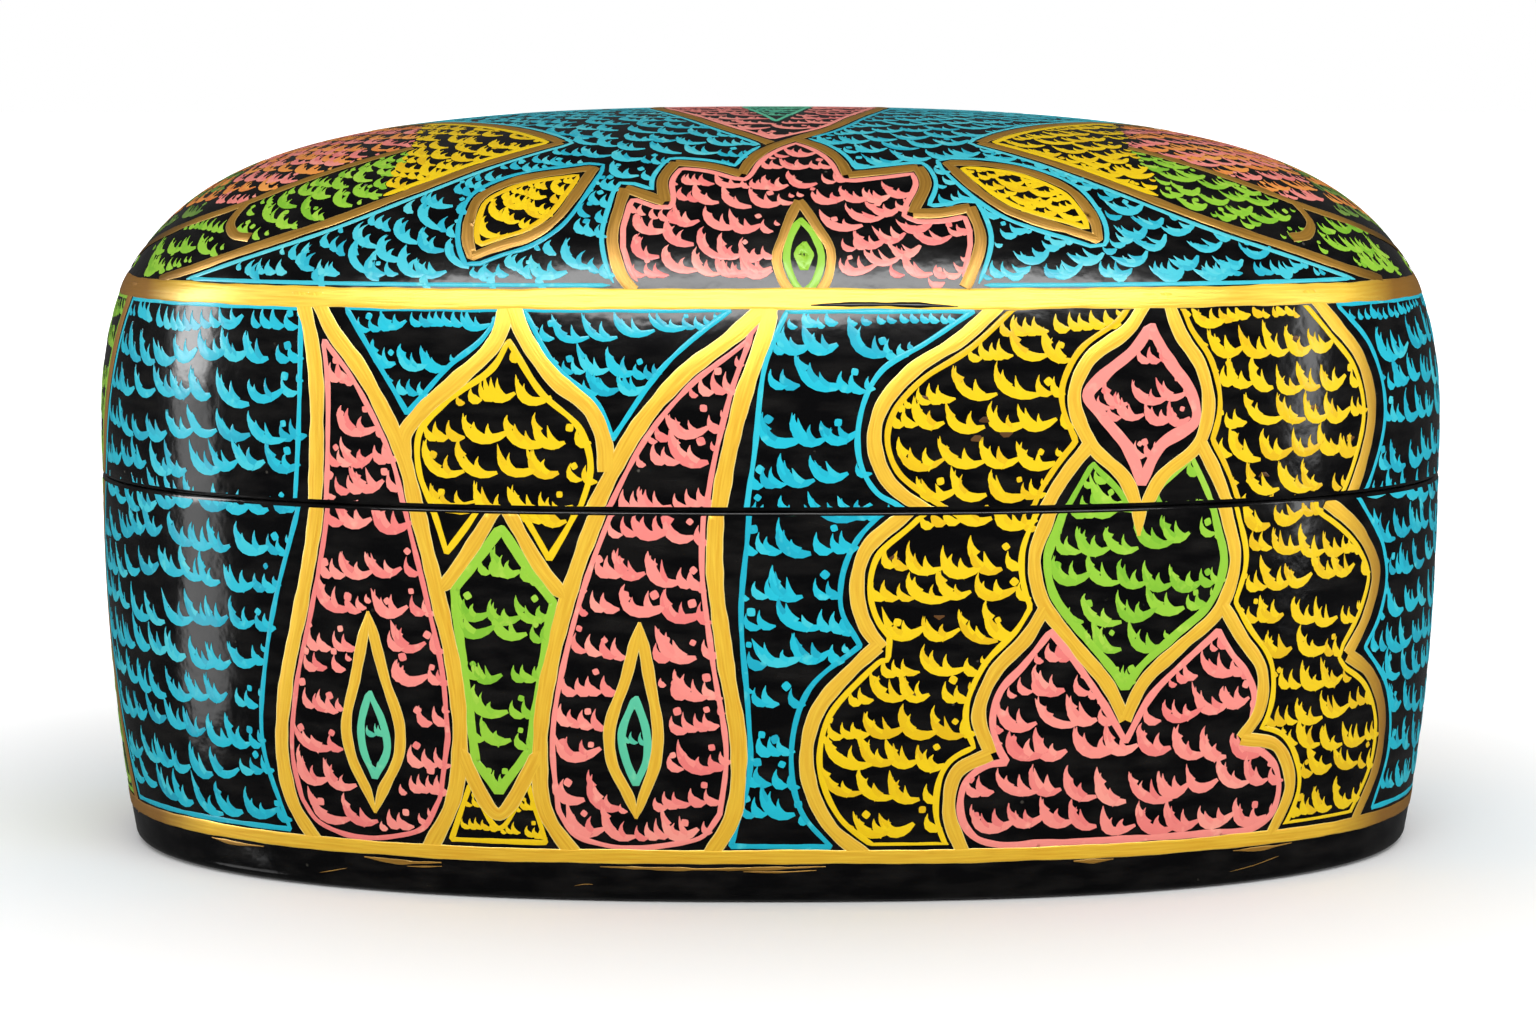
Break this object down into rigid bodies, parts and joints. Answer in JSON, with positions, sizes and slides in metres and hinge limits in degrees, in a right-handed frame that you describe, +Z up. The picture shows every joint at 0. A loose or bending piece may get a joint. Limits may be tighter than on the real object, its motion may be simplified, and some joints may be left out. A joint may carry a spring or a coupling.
{
  "type": "lacquered pulp box",
  "caption": "Oval-cornered moulded pulp box with a domed lid that lifts straight off an inner collar, lacquered black and painted with gold-bordered floral panels.",
  "frame": {"origin": "middle of the underside, on the surface that the box stands on", "axes": "+X along the length, -Y is the painted front, +Z up through the crown of the lid"},
  "size_m": [0.15, 0.1, 0.0814],
  "materials": {
    "black_lacquer": "gloss",
    "floor_lacquer": "satin",
    "collar_lacquer": "satin"
  },
  "bodies": {
    "base": {"base_shell": "black_lacquer", "base_floor": "floor_lacquer", "base_lip": "collar_lacquer"},
    "lid": {"lid_shell": "black_lacquer"}
  },
  "joints": [
    {"name": "lid_lift", "type": "slide", "parent": "base", "child": "lid", "axis": [0, 0, 1], "range_m": [0, 0.06]}
  ]
}
